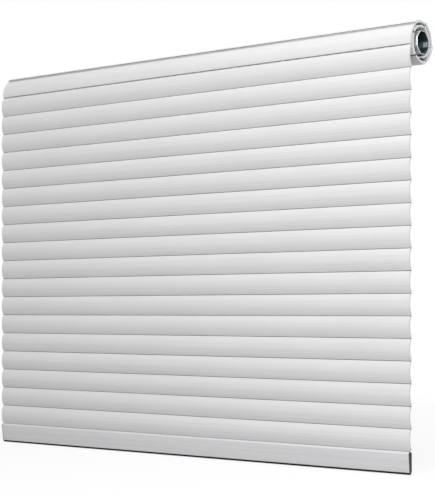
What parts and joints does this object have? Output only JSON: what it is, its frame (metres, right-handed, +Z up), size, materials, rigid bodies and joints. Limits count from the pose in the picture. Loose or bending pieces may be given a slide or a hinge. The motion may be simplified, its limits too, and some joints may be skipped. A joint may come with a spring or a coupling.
{
  "type": "exterior roller shutter",
  "caption": "Exterior roller shutter: a curtain of hollow hinged slats that hangs from its roll on an octagonal steel shaft, with light slots, an end bar and a rubber seal.",
  "frame": {"origin": "on the shaft's axis, at the middle of its length", "axes": "+X along the shaft, +Z up, -Y towards the weather side, where the curtain hangs in front of the roll"},
  "size_m": [1.004, 0.085, 0.7905],
  "materials": {
    "slat": "satin extruded plastic",
    "shaft_steel": "zinc-coated strip steel",
    "spring_steel": "bright spring steel",
    "end_bar": "satin white paint on extruded aluminium",
    "seal_rubber": "matt",
    "cap_plastic": "matt"
  },
  "bodies": {
    "roll": {"shaft": "shaft_steel", "hanging_spring_left": "spring_steel", "hanging_spring_middle": "spring_steel", "hanging_spring_right": "spring_steel", "slat_01": "slat", "slat_02": "slat", "slat_03": "slat", "slat_04": "slat", "slat_05": "slat", "slat_06": "slat", "slat_07": "slat", "slat_08": "slat", "slat_09": "slat"},
    "slat_10": {"slat_10": "slat"},
    "slat_11": {"slat_11": "slat"},
    "slat_12": {"slat_12": "slat"},
    "slat_13": {"slat_13": "slat"},
    "slat_14": {"slat_14": "slat"},
    "slat_15": {"slat_15": "slat"},
    "slat_16": {"slat_16": "slat"},
    "slat_17": {"slat_17": "slat"},
    "slat_18": {"slat_18": "slat"},
    "slat_19": {"slat_19": "slat"},
    "slat_20": {"slat_20": "slat"},
    "slat_21": {"slat_21": "slat"},
    "slat_22": {"slat_22": "slat"},
    "slat_23": {"slat_23": "slat"},
    "slat_24": {"slat_24": "slat"},
    "slat_25": {"slat_25": "slat"},
    "slat_26": {"slat_26": "slat"},
    "slat_27": {"slat_27": "slat"},
    "end_bar": {"end_bar": "end_bar", "bottom_seal": "seal_rubber", "end_cap_left": "cap_plastic", "end_cap_right": "cap_plastic"}
  },
  "joints": [
    {"name": "fold_01", "type": "hinge", "parent": "roll", "child": "slat_10", "pos_m": [0, -0.03841, -0.00608], "axis": [1, 0, 0], "range_deg": [0, 35.12]},
    {"name": "fold_02", "type": "hinge", "parent": "slat_10", "child": "slat_11", "pos_m": [0, -0.03841, -0.04508], "axis": [1, 0, 0], "range_deg": [0, 58.9]},
    {"name": "fold_03", "type": "hinge", "parent": "slat_11", "child": "slat_12", "pos_m": [0, -0.03841, -0.08408], "axis": [1, 0, 0], "range_deg": [0, 55.31]},
    {"name": "fold_04", "type": "hinge", "parent": "slat_12", "child": "slat_13", "pos_m": [0, -0.03841, -0.12308], "axis": [1, 0, 0], "range_deg": [0, 54.13]},
    {"name": "fold_05", "type": "hinge", "parent": "slat_13", "child": "slat_14", "pos_m": [0, -0.03841, -0.16208], "axis": [1, 0, 0], "range_deg": [0, 53.06]},
    {"name": "fold_06", "type": "hinge", "parent": "slat_14", "child": "slat_15", "pos_m": [0, -0.03841, -0.20108], "axis": [1, 0, 0], "range_deg": [0, 52.04]},
    {"name": "fold_07", "type": "hinge", "parent": "slat_15", "child": "slat_16", "pos_m": [0, -0.03841, -0.24008], "axis": [1, 0, 0], "range_deg": [0, 49.15]},
    {"name": "fold_08", "type": "hinge", "parent": "slat_16", "child": "slat_17", "pos_m": [0, -0.03841, -0.27908], "axis": [1, 0, 0], "range_deg": [0, 50.7]},
    {"name": "fold_09", "type": "hinge", "parent": "slat_17", "child": "slat_18", "pos_m": [0, -0.03841, -0.31808], "axis": [1, 0, 0], "range_deg": [0, 48.19]},
    {"name": "fold_10", "type": "hinge", "parent": "slat_18", "child": "slat_19", "pos_m": [0, -0.03841, -0.35708], "axis": [1, 0, 0], "range_deg": [0, 47.34]},
    {"name": "fold_11", "type": "hinge", "parent": "slat_19", "child": "slat_20", "pos_m": [0, -0.03841, -0.39608], "axis": [1, 0, 0], "range_deg": [0, 46.68]},
    {"name": "fold_12", "type": "hinge", "parent": "slat_20", "child": "slat_21", "pos_m": [0, -0.03841, -0.43508], "axis": [1, 0, 0], "range_deg": [0, 46.06]},
    {"name": "fold_13", "type": "hinge", "parent": "slat_21", "child": "slat_22", "pos_m": [0, -0.03841, -0.47408], "axis": [1, 0, 0], "range_deg": [0, 45.45]},
    {"name": "fold_14", "type": "hinge", "parent": "slat_22", "child": "slat_23", "pos_m": [0, -0.03841, -0.51308], "axis": [1, 0, 0], "range_deg": [0, 44.87]},
    {"name": "fold_15", "type": "hinge", "parent": "slat_23", "child": "slat_24", "pos_m": [0, -0.03841, -0.55208], "axis": [1, 0, 0], "range_deg": [0, 42.57]},
    {"name": "fold_16", "type": "hinge", "parent": "slat_24", "child": "slat_25", "pos_m": [0, -0.03841, -0.59108], "axis": [1, 0, 0], "range_deg": [0, 44.51]},
    {"name": "fold_17", "type": "hinge", "parent": "slat_25", "child": "slat_26", "pos_m": [0, -0.03841, -0.63008], "axis": [1, 0, 0], "range_deg": [0, 42.46]},
    {"name": "fold_18", "type": "hinge", "parent": "slat_26", "child": "slat_27", "pos_m": [0, -0.03841, -0.66908], "axis": [1, 0, 0], "range_deg": [0, 41.88]},
    {"name": "fold_19", "type": "hinge", "parent": "slat_27", "child": "end_bar", "pos_m": [0, -0.03841, -0.70808], "axis": [1, 0, 0], "range_deg": [0, 12.44]}
  ]
}
